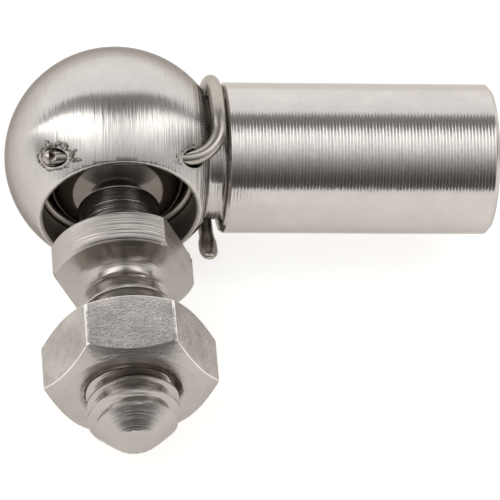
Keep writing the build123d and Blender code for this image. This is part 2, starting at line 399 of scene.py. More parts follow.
def thread_tree():
    """A screw thread as one grid: its rows follow the helix, so crests and roots stay crisp.

    The surface is the smaller of the thread and the two end cones (or the larger, inside a
    hole, where Side is -1). Rows past either end close up on it and are merged away.
    """
    tree = bpy.data.node_groups.new("Screw thread", "GeometryNodeTree")
    given = named_inputs(tree, {
        "Sides": 96, "Steps": 16, "Rows": 200, "Pitch": 1.0, "Tip Radius": 3.0, "Depth": 0.54,
        "Tip Flat": 0.125, "Side": 1.0, "Phase": 0.0, "Start Radius": 2.0, "End Radius": 2.0,
        "Ramp": 1.0, "End Round": 1.0, "Length": 10.0, "Fade": 0.01,
    })
    columns = add(tree, "ShaderNodeMath", {0: given["Sides"], 1: 1.0}, operation="ADD")
    last_row = add(tree, "ShaderNodeMath", {0: given["Rows"], 1: 1.0}, operation="SUBTRACT")
    grid = add(tree, "GeometryNodeMeshGrid", {
        "Size X": 1.0, "Size Y": 1.0, "Vertices X": columns, "Vertices Y": given["Rows"],
    })
    place = add(tree, "GeometryNodeInputPosition")
    parts = add(tree, "ShaderNodeSeparateXYZ", {0: place})
    found = {socket.name: socket for socket in given if socket.name}
    found.update(x=parts.outputs[0], y=parts.outputs[1])
    found["last row"] = last_row
    # Each sum: its name, what it does, and its terms as names or numbers.
    for name, operation, *terms in (
        ("turn", "ADD", "x", 0.5),
        ("share", "ADD", "y", 0.5),
        ("row", "MULTIPLY", "share", "last row"),
        ("pitches", "DIVIDE", "row", "Steps"),
        ("past start", "SUBTRACT", "pitches", 1.0),
        ("in phase", "SUBTRACT", "past start", "Phase"),
        ("on helix", "ADD", "in phase", "turn"),
        ("free station", "MULTIPLY", "on helix", "Pitch"),
        ("not before", "MAXIMUM", "free station", 0.0),
        ("station", "MINIMUM", "not before", "Length"),
        ("in pitches", "DIVIDE", "station", "Pitch"),
        ("shifted", "ADD", "in pitches", "Phase"),
        ("unturned", "SUBTRACT", "shifted", "turn"),
        ("centred", "ADD", "unturned", 0.5),
        ("cycle", "FRACT", "centred"),
        ("signed", "SUBTRACT", "cycle", 0.5),
        ("off tip", "ABSOLUTE", "signed"),
        ("half flat", "MULTIPLY", "Tip Flat", 0.5),
        ("down flank", "SUBTRACT", "off tip", "half flat"),
        ("sunk", "DIVIDE", "down flank", FLANK),
        ("not above", "MAXIMUM", "sunk", 0.0),
        ("sink", "MINIMUM", "not above", 1.0),
        ("left", "SUBTRACT", "Length", "station"),
        ("fading", "DIVIDE", "left", "Fade"),
        ("fade", "MINIMUM", "fading", 1.0),
        ("faded", "MULTIPLY", "sink", "fade"),
        ("deep", "MULTIPLY", "faded", "Depth"),
        ("signed tip", "MULTIPLY", "Tip Radius", "Side"),
        ("thread", "SUBTRACT", "signed tip", "deep"),
        ("signed start", "MULTIPLY", "Start Radius", "Side"),
        ("start rise", "MULTIPLY", "station", "Ramp"),
        ("start cone", "ADD", "signed start", "start rise"),
        ("signed end", "MULTIPLY", "End Radius", "Side"),
        ("end bulge", "POWER", "left", "End Round"),
        ("end rise", "MULTIPLY", "end bulge", "Ramp"),
        ("end cone", "ADD", "signed end", "end rise"),
        ("nearer", "MINIMUM", "start cone", "end cone"),
        ("least", "MINIMUM", "nearer", "thread"),
        ("radius", "MULTIPLY", "least", "Side"),
        ("angle", "MULTIPLY", "turn", 2 * math.pi),
        ("cos", "COSINE", "angle"),
        ("sin", "SINE", "angle"),
        ("across", "MULTIPLY", "cos", "radius"),
        ("upwards", "MULTIPLY", "sin", "radius"),
    ):
        terms = {i: found.get(term, term) for i, term in enumerate(terms)}
        found[name] = add(tree, "ShaderNodeMath", terms, operation=operation)
    spot = add(tree, "ShaderNodeCombineXYZ", {
        "X": found["across"], "Y": found["upwards"], "Z": found["station"],
    })
    rolled = add(tree, "GeometryNodeSetPosition", {
        "Geometry": grid.outputs["Mesh"], "Position": spot,
    })
    welded = add(tree, "GeometryNodeMergeByDistance", {"Geometry": rolled, "Distance": WELD})
    return ends_in(tree, welded, given["Material"])


def wire_tree():
    """Round wire along a path: the mesh's own edges are its centre line."""
    tree = bpy.data.node_groups.new("Bent wire", "GeometryNodeTree")
    given = named_inputs(tree, {"Sides": 24, "Radius": 0.5})
    path = add(tree, "GeometryNodeMeshToCurve", {"Mesh": given["Geometry"]})
    section = add(tree, "GeometryNodeCurvePrimitiveCircle", {
        "Resolution": given["Sides"], "Radius": given["Radius"],
    })
    wire = add(tree, "GeometryNodeCurveToMesh", {
        "Curve": path, "Profile Curve": section, "Fill Caps": True,
    })
    return ends_in(tree, wire, given["Material"])


def threaded(material, basis, start, **values):
    """A thread's surface from the tree, moved to where its piece has it."""
    tree = bpy.data.node_groups.get("Screw thread") or thread_tree()
    span = values["length"] / values["pitch"]
    rows = int(math.ceil((span + 2) * values["steps"])) + 1
    mesh = grown(tree, bpy.data.meshes.new("seed"), rows=rows, material=material, **values)
    turn = Matrix(basis.tolist()).to_4x4()
    mesh.transform(turn @ Matrix.Translation((0, 0, start)))
    return mesh


def wear(mesh, kinds):
    """Sets which of its piece's materials each face of the mesh has."""
    mesh.polygons.foreach_set("material_index", np.asarray(kinds, np.int32))


def finished(name, mesh, materials, body, node):
    """Moves a mesh to metres and makes it the piece that stands for its CAD node."""
    mesh.transform(Matrix.Scale(MM, 4))
    mesh.name = name
    # Clearing the materials would put every face back to the first one.
    kinds = np.empty(len(mesh.polygons), np.int32)
    mesh.polygons.foreach_get("material_index", kinds)
    mesh.materials.clear()
    for material in materials:
        mesh.materials.append(material)
    wear(mesh, kinds)
    mesh.shade_smooth()
    mesh.set_sharp_from_angle(angle=CREASE)
    mesh.update()
    if mesh.validate():
        raise RuntimeError(f"{name}'s mesh has faults")
    piece = linked(name, mesh)
    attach(piece, body)
    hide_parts(node)


# --- Materials ---
def steel(name, colour, roughness, anisotropy, lines, turn=(0, 0, 0), stain=0.12, spread=0.1,
          edge_on="#DEDBD8"):
    """Bare stainless steel, marked round local X by lines of (spacing mm, height mm, break-up).

    Lines with no break-up are a lathe's even feed marks. turn lines local X up with the
    piece's own axis of turning. edge_on is how much of the light that skims it is left.
    """
    material = bpy.data.materials.new(name)
    material.use_nodes = True
    tree = material.node_tree
    tree.nodes.clear()
    where = add(tree, "ShaderNodeTexCoord")
    local = add(tree, "ShaderNodeMapping", {"Vector": where.outputs["Object"], "Rotation": turn})
    # Rings need a distance that changes along a shaft, over its end faces and down its cones.
    across = add(tree, "ShaderNodeVectorMath", {0: local, 1: (0, 1, 1)}, operation="MULTIPLY")
    spread_out = add(tree, "ShaderNodeVectorMath", {0: across}, operation="LENGTH")
    parts = add(tree, "ShaderNodeSeparateXYZ", {0: local})
    station = add(tree, "ShaderNodeMath", {
        0: spread_out.outputs["Value"], 1: -0.5, 2: parts.outputs[0],
    }, operation="MULTIPLY_ADD")
    place = add(tree, "ShaderNodeCombineXYZ", {
        "X": station, "Y": parts.outputs[1], "Z": parts.outputs[2],
    })
    height = None
    for spacing, rise, broken in lines:
        if broken is None:
            # A wave of 20 radians to the unit, so this scale gives one mark to each feed.
            grain = add(tree, "ShaderNodeTexWave", {
                "Vector": place, "Scale": math.pi / 10 / (spacing * MM),
                "Distortion": 0.25, "Detail": 1.0, "Detail Scale": 0.3,
            }, wave_type="BANDS", bands_direction="X")
        else:
            # Streaks run round the piece: fine along local X, long the other two ways.
            fine = 1 / (spacing * MM)
            streak = add(tree, "ShaderNodeMapping", {
                "Vector": place, "Scale": (fine, fine * broken, fine * broken),
            })
            grain = add(tree, "ShaderNodeTexNoise", {
                "Vector": streak, "Scale": 1.0, "Detail": 2.0, "Roughness": 0.5,
            })
        bump = {"Height": grain.outputs["Fac"], "Strength": 1.0, "Distance": rise * MM}
        if height is not None:
            bump["Normal"] = height
        height = add(tree, "ShaderNodeBump", bump)
    # Cloudy patches: dull where dark, as handling and passivating leave bare steel.
    cloud = add(tree, "ShaderNodeTexNoise", {
        "Vector": local, "Scale": PATCHES, "Detail": 7.0, "Roughness": 0.7,
    })
    shade, dull = (
        add(tree, "ShaderNodeMapRange", {
            "Value": cloud, "From Min": 0.3, "From Max": 0.7, "To Min": low, "To Max": high,
        }) for low, high in ((0.0, 1.0), (roughness * (1 + spread), roughness * (1 - spread)))
    )
    dark = [c * (1 - stain) for c in linear(colour)[:3]] + [1]
    ramp = add(tree, "ShaderNodeValToRGB", {"Fac": shade})
    ramp.color_ramp.elements[0].color = dark
    ramp.color_ramp.elements[1].color = linear(colour)
    # The marks run round local X, so highlights spread across them, along the surface.
    facing = add(tree, "ShaderNodeNewGeometry")
    marks = add(tree, "ShaderNodeVectorMath", {
        0: where.outputs["Object"], 1: Euler(turn).to_matrix().inverted() @ Vector((1, 0, 0)),
    }, operation="CROSS_PRODUCT")
    spoke = add(tree, "ShaderNodeVectorMath", {
        0: marks, 1: facing.outputs["Normal"],
    }, operation="CROSS_PRODUCT")
    shader = add(tree, "ShaderNodeBsdfPrincipled", {
        "Base Color": ramp, "Metallic": 1.0, "Roughness": dull, "Anisotropic": anisotropy,
        "Tangent": spoke, "Specular Tint": linear(edge_on), "Normal": height,
    })
    add(tree, "ShaderNodeOutputMaterial", {"Surface": shader})
    return material


def beside(mesh, other):
    """One mesh of two that keep their own points, as a burr keeps to its edge."""
    both = bmesh.new()
    both.from_mesh(mesh)
    both.from_mesh(other)
    both.to_mesh(mesh)
    both.free()
    bpy.data.meshes.remove(other)
    return mesh


def burr_tree():
    """Torn flakes of metal along an edge, each a few faces, turned and sized at random."""
    tree = bpy.data.node_groups.new("Burrs", "GeometryNodeTree")
    given = named_inputs(tree, {"Count": 40, "Smallest": 0.03, "Largest": 0.12, "Seed": 7})
    path = add(tree, "GeometryNodeMeshToCurve", {"Mesh": given["Geometry"]})
    spots = add(tree, "GeometryNodeCurveToPoints", {"Curve": path, "Count": given["Count"]})
    flake = add(tree, "GeometryNodeMeshIcoSphere", {"Radius": 1.0, "Subdivisions": 1})
    turn = add(tree, "FunctionNodeRandomValue", {
        0: (0.0, 0.0, 0.0), 1: (6.28, 6.28, 6.28), "Seed": given["Seed"],
    }, data_type="FLOAT_VECTOR")
    least, most = (
        add(tree, "ShaderNodeCombineXYZ", {axis: given[name] for axis in "XYZ"})
        for name in ("Smallest", "Largest")
    )
    size = add(tree, "FunctionNodeRandomValue", {
        0: least, 1: most, "Seed": given["Seed"],
    }, data_type="FLOAT_VECTOR")
    flakes = add(tree, "GeometryNodeInstanceOnPoints", {
        "Points": spots, "Instance": flake, "Rotation": turn, "Scale": size,
    })
    return ends_in(tree, flakes, given["Material"])


# The socket's, the stud's and the nut's materials, in the order of their numbers.
HEAD, SHANK, INSIDE, RIM = range(4)
BALL, BAR, ROLLED, POINT = range(4)
# The nut's third material is the painted highlight on its edges and corners.
FLAT, FACE, HIGHLIGHT_PAINTED = range(3)


def grow_burrs(hole_r):
    """Burrs that drilling the clip's hole left on the head, at both of its ends."""
    tree = burr_tree()
    torn = np.random.default_rng(11)
    clear, stray, reach, smallest = 0.13, 0.12, 0.35, 0.04
    found = None
    # Which end, where round the hole in degrees from +Y, how many, how large, and a seed.
    for way, first, last, count, largest, seed in (
        (-1, 10, 150, 46, 0.26, 3), (-1, 150, 370, 30, 0.12, 5), (1, 30, 160, 24, 0.14, 9),
    ):
        edge = []
        for t in np.radians(np.linspace(first, last, 24)):
            t += torn.normal(0, stray)
            out = hole_r + clear + torn.exponential(reach) * largest
            y = LEG_AT.y + out * math.cos(t)
            z = LEG_AT.z + out * math.sin(t)
            edge.append((way * math.sqrt(HEAD_R**2 - y * y - z * z), y, z))
        line = bpy.data.meshes.new("edge")
        line.from_pydata(edge, [(i, i + 1) for i in range(len(edge) - 1)], [])
        burr = grown(tree, line, count=count, smallest=smallest, largest=largest, seed=seed)
        wear(burr, [RIM] * len(burr.polygons))
        found = beside(found, burr) if found else burr
    return found


class MakeSocket(bpy.types.Operator):
    """Builds the ball socket: head, clip groove, bore and threaded shank"""

    bl_idname = "ball_joint.make_socket"
    bl_label = "Socket"

    def execute(self, context):
        s = sizes(context, "joint_socket")
        looks = sizes(context, "joint_finish")
        pitch = sizes(context, "joint_stud").pitch
        # Turned stainless bar: a form tool left fine broken rings on the head, which draw its
        # reflections out along the bar. They are drawn about twice as coarse, so that they show.
        bar = steel("Stainless_turned_head", looks.steel, 0.22, 0.85,
                    [(0.11, 0.034, 0.03), (0.3, 0.03, 0.06), (0.06, 0.008, 0.04)],
                    edge_on="#A6A29E")
        # The shank was turned along its length: even feed marks comb every reflection's edge.
        fed = steel("Stainless_turned_shank", looks.steel, 0.19, 0.6,
                    [(looks.feed, 0.013, None), (0.12, 0.006, 0.06), (0.2, 0.010, 0.3)])
        # Bored inside: rings round the mouth's axis, dull from the drill and reamer.
        bored = steel("Stainless_bored", looks.bored, 0.34, 0.6,
                      [(0.18, 0.014, 0.03), (0.07, 0.006, 0.05)], (0, 0, math.pi / 2))
        # Faced rim: grainy, with short cross marks, drawn coarser than they are.
        faced = steel("Stainless_faced_rim", looks.bored, 0.32, 0.0, [(0.13, 0.03, 0.8)],
                      stain=0.5)
        sides, groove_r, shank_r = 160, s.groove / 2, s.shank / 2
        edge_turn = math.degrees(math.acos(s.groove_near / HEAD_R))
        corners = arc(HEAD_R, 180, edge_turn, 72)
        corners[0] = (-HEAD_R, 0)
        corners[-1] += (0.05,)
        # The groove, then the shank with its shoulder and its end broken.
        fillet, shoulder, broken, spaced = 0.35, 0.15, 0.3, 0.6
        corners += [
            (s.groove_near, groove_r, fillet), (s.groove_far, groove_r, fillet),
            (s.groove_far, shank_r - shoulder, 0.04), (s.groove_far + shoulder, shank_r, 0.04),
        ]
        corners += [(x, shank_r) for x in np.arange(s.groove_far + 1, SHANK_END - spaced, spaced)]
        corners += [(SHANK_END - broken, shank_r, 0.06), (SHANK_END, shank_r - broken, 0.06),
                    (SHANK_END, s.sink / 2)]
        outline = profile(corners, 5)
        shell = turned(np.vstack([outline, [(SHANK_END, 0)]]), sides)
        solid = joined([skin(shell, ALONG_SHANK)])
        # One cutter faces the mouth, breaks its edges and turns the bore and the ball's seat.
        bore_r, rim_r = s.bore / 2, math.sqrt(HEAD_R**2 - MOUTH**2)
        slack, past = 0.1, 1.0
        ring_half = (ring_high.y - ring_low.y) / 2 + slack
        ring_at = -(ring_high.y + ring_low.y) / 2
        ring_r = ring_high.x + slack
        inside = arc(bore_r, 180, 90, 32)
        inside[0] = (-bore_r, 0)
        # Past the rim the cutter slopes back outside the head, to break the outer edge.
        inside += [
            (ring_at - ring_half, bore_r, 0.03), (ring_at - ring_half, ring_r, 0.05),
            (ring_at + ring_half, ring_r, 0.05), (ring_at + ring_half, bore_r, 0.03),
            (MOUTH - s.rim_edge, bore_r), (MOUTH, bore_r + s.rim_edge),
            (MOUTH, rim_r - s.rim_edge), (MOUTH - 0.45, rim_r - s.rim_edge + 0.97),
            (HEAD_R + past, rim_r + 0.9), (HEAD_R + past, 0),
        ]
        mouth = joined([skin(turned(profile(inside), sides), OUT_OF_MOUTH)])
        reach = [(-HEAD_R - past, 0), (-HEAD_R - past, s.hole / 2), (CLIP_PLANE, s.hole / 2),
                 (CLIP_PLANE, 0)]
        drill = joined([skin(turned(reach, 40), ALONG_SHANK)])
        drill.transform(Matrix.Translation((0, LEG_AT.y, LEG_AT.z)))
        solid = cut(solid, [mouth, drill])
        # The end's middle is opened, and the thread's own surface is welded in its place.
        opened = bmesh.new()
        opened.from_mesh(solid)
        near = 0.01
        lid = [f for f in opened.faces
               if f.calc_center_median().x > SHANK_END - near
               and max(math.hypot(v.co.y, v.co.z) for v in f.verts) < s.sink / 2 + near]
        bmesh.ops.delete(opened, geom=lid, context="FACES")
        opened.to_mesh(solid)
        opened.free()
        core_r = s.core / 2
        hole = threaded(bar, INTO_SHANK, -SHANK_END, sides=sides, steps=12, pitch=pitch,
                        tip_radius=core_r, depth=0.53, tip_flat=0.25, side=-1.0, phase=0.0,
                        start_radius=s.sink / 2, end_radius=core_r - near, ramp=1.0,
                        length=s.depth, fade=1.6)
        # The drill's point is 118 degrees.
        point = core_r / math.tan(math.radians(59))
        end = skin(turned([(s.depth, core_r), (s.depth + point, 0)], sides), INTO_SHANK)
        end.transform(Matrix.Translation((SHANK_END, 0, 0)))
        burr = grow_burrs(s.hole / 2)
        whole = joined([solid, hole, end])
        centres = np.array([f.center for f in whole.polygons])
        spread = np.hypot(centres[:, 0], centres[:, 2])
        kinds = np.where(centres[:, 0] > s.groove_far - HAIR, SHANK, HEAD)
        # Inside is what lies round the mouth's axis and below the head's outer skin.
        outer_skin = 0.12
        within = np.linalg.norm(centres, axis=1) < HEAD_R - outer_skin
        kinds[(spread < ring_r + 0.02) & within & (centres[:, 0] < s.groove_near)] = INSIDE
        kinds[np.abs(centres[:, 1] + MOUTH) < WELD] = RIM
        wear(whole, kinds)
        finished("socket_body", beside(whole, burr), [bar, fed, bored, faced], "housing",
                 "socket_housing")
        return {"FINISHED"}


class MakeStud(bpy.types.Operator):
    """Builds the ball stud: ball, neck, collar with spanner flats, undercut and thread"""

    bl_idname = "ball_joint.make_stud"
    bl_label = "Ball stud"

    def execute(self, context):
        s = sizes(context, "joint_stud")
        looks = sizes(context, "joint_finish")
        # Polished ball under a film of grease, with clear soft reflections; its dark colour is
        # partly painted shade for the socket that it sits in.
        ball = steel("Stainless_polished", looks.greased_and_shaded, 0.12, 0.3, [(0.3, 0.002, 0.05)],
                     STUD_TURN)
        # Turned bar: rings round the stud, drawn about twice as coarse, so that they show.
        bar = steel("Stainless_turned_stud", looks.turned, 0.22, 0.5,
                    [(0.14, 0.030, 0.012), (0.3, 0.03, 0.02)], STUD_TURN)
        # Rolled thread: burnished flanks, smoother than the turned collar.
        rolled = steel("Stainless_rolled_thread", looks.turned, 0.2, 0.2,
                       [(0.12, 0.016, 0.03), (0.3, 0.014, 0.2)], STUD_TURN)
        # The point was turned last: open rings round its cone and its end, drawn coarser.
        point = steel("Stainless_turned_point", looks.turned, 0.24, 0.0,
                      [(0.17, 0.045, 0.015), (0.3, 0.02, 0.2)], STUD_TURN)
        sides = 96
        ball_r, neck_r, collar_r = s.ball / 2, s.neck / 2, s.collar / 2
        undercut_r = s.undercut / 2
        neck_turn = math.degrees(math.asin(neck_r / ball_r))
        corners = arc(ball_r, 180, neck_turn, 64)
        corners[0] = (-ball_r, 0)
        corners[-1] += (0.12,)
        # The ball's finish ends half-way round the fillet into its neck.
        ball_rows = len(corners) + 3
        # The flats' edges fall on sides of the rings, and their bevel ends one side nearer.
        step = 2 * math.pi / sides
        edge = round(math.acos(s.flats / s.collar) / step)
        chord = collar_r * math.cos(edge * step)
        inner = chord / math.cos((edge - 1) * step)
        bevel, band, face = collar_r - inner, 0.3, 0.4
        back, seat = s.collar_back, SEAT_STATION
        start = seat + s.fillet + LAND
        corners += [
            (back, neck_r, 0.2), (back, inner - face), (back, inner), (back + bevel, collar_r),
            (back + bevel + band, collar_r), (seat - bevel - band, collar_r),
            (seat - bevel, collar_r), (seat, inner), (seat, inner - face),
            (seat, undercut_r, s.fillet), (start, undercut_r),
        ]
        outline = profile(corners, 6)
        rings = turned(outline, sides)
        # The flats: a ring's points past the flat move in to it, straight towards the stud.
        off = np.arange(sides) * step
        off = np.abs((off + math.pi / 2) % math.pi - math.pi / 2)
        limit = chord / np.maximum(np.cos(off), FINE)
        radii = np.hypot(rings[..., 0], rings[..., 1])
        on_collar = (outline[:, 0] > back - FINE) & (outline[:, 0] < seat + FINE)
        scale = np.where(on_collar[:, None] & (radii > limit), limit / np.maximum(radii, FINE), 1)
        rings[..., :2] *= scale[..., None]
        basis = about_stud(s.flats_turn)
        kinds = np.where(np.arange(len(outline) - 1) < ball_rows, BALL, BAR)
        shaft = skin(rings, basis, kinds)
        # A hair short, so that the point's last ring stays inside the solid's box.
        end = THREAD_LAST + CREST_R - s.end_flat / 2 - HAIR
        # The point is a cone of near 45 degrees, a little rounded towards its flat.
        screw = threaded(rolled, basis, start, sides=sides, steps=16, pitch=s.pitch,
                         tip_radius=CREST_R, depth=0.56, tip_flat=0.125, side=1.0, phase=s.start,
                         start_radius=undercut_r, end_radius=s.end_flat / 2, ramp=1.06,
                         end_round=0.92, length=end - start, fade=0.001)
        # The rolling stops where the turned point begins.
        pointed = THREAD_LAST + 0.1
        wear(screw, [POINT if f.center.dot(STUD_DIR) > pointed else ROLLED
                     for f in screw.polygons])
        cap = skin(turned([(end, s.end_flat / 2), (end, 0)], sides), basis, [POINT])
        finished("ball_stud_body", joined([shaft, screw, cap]), [ball, bar, rolled, point],
                 "stud", "ball_stud")
        return {"FINISHED"}


class MakeNut(bpy.types.Operator):
    """Builds the hexagon nut: cold-formed flats, turned faces and its inside thread"""

    bl_idname = "ball_joint.make_nut"
    bl_label = "Hexagon nut"

    def execute(self, context):
        s = sizes(context, "joint_nut")
        stud = sizes(context, "joint_stud")
        looks = sizes(context, "joint_finish")
        # Cold-formed flats: sandy from blasting, and patchy where the forming wore them.
        flat = steel("Stainless_cold_formed", looks.formed, 0.24, 0.0,
                     [(0.13, 0.05, 1.0), (0.4, 0.03, 0.5)], STUD_TURN, stain=0.45, spread=0.2)
        # The nut's edges and corners in a lighter, glossier colour: a painted highlight along them.
        painted = steel("Stainless_worn_bright", looks.painted_edge, 0.16, 0.0,
                       [(0.3, 0.012, 1.0)], STUD_TURN, stain=0.15, spread=0.2)
        # Turned faces and chamfers: rings about the bore, drawn coarser, so that they show.
        face = steel("Stainless_faced", looks.turned, 0.27, 0.4,
                     [(0.14, 0.012, 0.04), (0.3, 0.02, 0.5)], STUD_TURN)
        # A hexagon with rounded corners, as a radius for each side of the rings.
        sides = 288
        half, rho = s.flats / 2, s.corner
        corner_at = (half - rho) / math.cos(math.radians(30))
        step = 2 * math.pi / sides
        beta = (np.arange(sides) * step + math.pi / 6) % (math.pi / 3) - math.pi / 6
        side = half / np.cos(math.pi / 6 - np.abs(beta))
        under = np.maximum(rho**2 - (corner_at * np.sin(beta)) ** 2, 0)
        bend = corner_at * np.cos(beta) + np.sqrt(under)
        limit = np.arctan2(rho / 2, corner_at + rho * math.cos(math.pi / 6))
        hexagon = np.where(np.abs(beta) < limit, bend, side)
        first, last = NUT_MID - s.height / 2, NUT_MID + s.height / 2
        face_r, slope = s.face / 2, math.tan(s.chamfer)
        # The third of these is the width of the band at each chamfer's outer edge that carries the
        # painted highlight.
        sunk, middle_r, painted_edge, core_r = 0.33, 3.9, 0.045, 2.5
        mouth_r = CREST_R + PLAY + sunk
        fall = (hexagon - face_r) * slope
        level = np.zeros(sides)
        rows = []
        for face_at, into in ((first, 1), (last, -1)):
            part = [
                (level + mouth_r, level, FACE), (level + middle_r, level, FACE),
                (level + face_r, level, FACE), (hexagon - painted_edge, fall - painted_edge * slope, HIGHLIGHT_PAINTED),
                (hexagon - painted_edge * 0.25, fall, HIGHLIGHT_PAINTED), (hexagon, fall + painted_edge, FLAT),
            ]
            rows += [(r, face_at + into * depth, kind) for r, depth, kind in part[::into]]
            if into > 0:
                rows += [(hexagon, first + fall + (s.height - 2 * fall) * t, FLAT)
                         for t in (0.2, 0.35, 0.5, 0.65, 0.8)]
        turns = np.arange(sides) * step
        rings = np.stack([
            np.stack([r * np.cos(turns), r * np.sin(turns), a], -1) for r, a, _ in rows
        ])
        basis = about_stud(s.turn)
        # Bands at each chamfer's outer edge and down the rounded corners take the lighter colour: a
        # painted highlight.
        kinds = np.repeat([FACE if {a[2], b[2]} == {FACE, HIGHLIGHT_PAINTED} else max(a[2], b[2])
                           for a, b in zip(rows[:-1], rows[1:])], sides)
        on_corner = np.tile(np.abs(beta + step / 2) < limit * 1.15, len(rows) - 1)
        kinds[on_corner & (kinds == FLAT)] = HIGHLIGHT_PAINTED
        shell = skin(rings, basis)
        wear(shell, kinds)
        # The nut's tips stand in the stud's roots, whose helix starts at the undercut.
        stud_start = SEAT_STATION + stud.fillet + LAND
        turned_by = (s.turn - stud.flats_turn) / (2 * math.pi)
        phase = ((first - stud_start) / stud.pitch - turned_by + stud.start + 0.5) % 1
        hole = threaded(face, basis, first, sides=sides, steps=16, pitch=stud.pitch,
                        tip_radius=core_r, depth=0.53, tip_flat=0.25, side=-1.0, phase=phase,
                        start_radius=mouth_r, end_radius=mouth_r, ramp=2.0,
                        length=s.height, fade=0.001)
        wear(hole, [FACE] * len(hole.polygons))
        finished("hex_nut_body", joined([shell, hole]), [flat, face, painted], "nut", "hex_nut")
        return {"FINISHED"}


def bent(points, bend, steps=10):
    """A path through points, each inner corner rounded to the bend radius."""
    line = [points[0]]
    for before, corner, after in zip(points[:-2], points[1:-1], points[2:]):
        a, b = (before - corner).normalized(), (after - corner).normalized()
        half = a.angle(b) / 2
        centre = corner + (a + b).normalized() * bend / math.sin(half)
        first = corner + a * bend / math.tan(half) - centre
        last = corner + b * bend / math.tan(half) - centre
        sweep = math.pi - 2 * half
        for k in range(steps + 1):
            share = k / steps
            part = first * math.sin((1 - share) * sweep) + last * math.sin(share * sweep)
            line.append(centre + part / math.sin(sweep))
    return line + [points[-1]]


def drawn_wire(context):
    """Drawn spring wire: smooth, a little darker than bar, with faint marks from the die."""
    name = "Stainless_spring_wire"
    return bpy.data.materials.get(name) or steel(
        name, sizes(context, "joint_finish").wire, 0.26, 0.0, [(0.3, 0.004, 0.6)])


def wire(path, radius, material, sides):
    """Wire along a path: its mesh, and its points as rings."""
    tree = bpy.data.node_groups.get("Bent wire") or wire_tree()
    line = bpy.data.meshes.new("path")
    line.from_pydata([tuple(p) for p in path], [(i, i + 1) for i in range(len(path) - 1)], [])
    mesh = grown(tree, line, sides=sides, radius=radius, material=material)
    co = np.empty(len(mesh.vertices) * 3)
    mesh.vertices.foreach_get("co", co)
    return mesh, co.reshape(len(path), sides, 3)


def eased_ends(path, first_depth, last_depth, steps):
    """The path with short steps at each end, for the wire's rounded ends."""
    first, last = (path[0] - path[1]).normalized(), (path[-1] - path[-2]).normalized()
    shares = [1 - math.cos(k / steps * math.pi / 2) for k in range(steps + 1)]
    return ([path[0] - first * first_depth * k for k in shares] + path[1:-1]
            + [path[-1] - last * last_depth * k for k in shares[::-1]])


def round_ends(rings, leave, steps):
    """Draws the end rings in on a quarter ellipse, down to the part of the radius left flat."""
    for k in range(steps):
        share = leave + (1 - leave) * math.sin(k / steps * math.pi / 2)
        for ring in (k, len(rings) - 1 - k):
            centre = rings[ring].mean(0)
            rings[ring] = centre + (rings[ring] - centre) * share


def on_loop(radius, turn):
    """A point on the clip's loop, by its angle from +Y."""
    return Vector((CLIP_PLANE, radius * math.cos(turn), radius * math.sin(turn)))


class MakeClip(bpy.types.Operator):
    """Builds the safety clip: one bent wire, its tail pinched and both ends rounded"""

    bl_idname = "ball_joint.make_clip"
    bl_label = "Safety clip"

    def execute(self, context):
        s = sizes(context, "joint_wires")
        drawn = drawn_wire(context)
        reach = math.hypot(LEG_AT.y, LEG_AT.z)
        join = math.atan2(LEG_AT.z, LEG_AT.y) - math.acos(s.loop / reach)
        leg_x = math.sqrt(HEAD_R**2 - reach**2) + s.proud
        path = bent([Vector((-leg_x, LEG_AT.y, LEG_AT.z)),
                     Vector((CLIP_PLANE, LEG_AT.y, LEG_AT.z)), on_loop(s.loop, join)], s.bend)
        # The tail leaves the loop just past its lowest point.
        last = math.radians(-100)
        path += [on_loop(s.loop, t) for t in np.linspace(join, last, 64)[1:]]
        # Points stand close where the tail is pinched and where the leg's end is rounded.
        away = Vector((0, math.sin(last), -math.cos(last)))
        tail = path[-1]
        path += [tail + away * d for d in np.linspace(s.tail - 3, s.tail - 1, 12)]
        path.append(tail + away * s.tail)
        leg = [path[0] + Vector((d, 0, 0)) for d in (0.4, 0.8, 1.2, 1.8, 2.4)]
        path = eased_ends(path[:1] + leg + path[1:], 0.45, 0.85, 6)
        mesh, rings = wire(path, s.clip_wire / 2, drawn, 28)
        round_ends(rings, 0.25, 6)
        # The cropping tool pinched the tail wider across the shank and thinner the other way.
        pinched, fading, wider, thinner = 2.3, 0.9, 0.25, 0.28
        middles = rings.mean(1)
        for i, middle in enumerate(middles):
            near = np.clip((pinched - np.linalg.norm(middles[-1] - middle)) / fading, 0, 1)
            near = near * near * (3 - 2 * near)
            rings[i, :, 0] = middle[0] + (rings[i, :, 0] - middle[0]) * (1 + wider * near)
            rings[i, :, 1:] = middle[1:] + (rings[i, :, 1:] - middle[1:]) * (1 - thinner * near)
        mesh.vertices.foreach_set("co", rings.ravel())
        finished("safety_clip_wire", mesh, [drawn], "clip", "safety_clip")
        return {"FINISHED"}


class MakeRing(bpy.types.Operator):
    """Builds the spring ring that keeps the ball in its socket"""

    bl_idname = "ball_joint.make_ring"
    bl_label = "Spring ring"

    def execute(self, context):
        s = sizes(context, "joint_wires")
        drawn = drawn_wire(context)
        radius = (ring_high.y - ring_low.y) / 2
        middle = ring_high.x - radius
        level = (ring_high.y + ring_low.y) / 2
        half = math.asin(s.ring_gap / 2 / middle)
        turns = np.linspace(half, 2 * math.pi - half, 120)
        path = [Vector((middle * math.sin(t), level, middle * math.cos(t))) for t in turns]
        mesh, rings = wire(eased_ends(path, 0.08, 0.08, 4), radius, drawn, 20)
        round_ends(rings, 0.7, 4)
        mesh.vertices.foreach_set("co", rings.ravel())
        finished("spring_ring_wire", mesh, [drawn], "ring", "spring_ring")
        return {"FINISHED"}


# The studio's soft light by its rise over the floor, in degrees from the front, over the top
# and down behind: a wide overhead softbox that fades towards the front, a dark gap, and a
# pale wall behind.
RISE = (
    (0, 0.12), (14, 0.10), (24, 0.17), (30, 0.27), (38, 0.41), (46, 0.65), (54, 0.94),
    (63, 1.26), (72, 1.52), (80, 1.68), (86, 1.38), (90, 0.95), (95, 0.40), (99, 0.28),
    (108, 0.26), (116, 0.32), (121.5, 1.2), (150, 1.3), (180, 1.4),
)
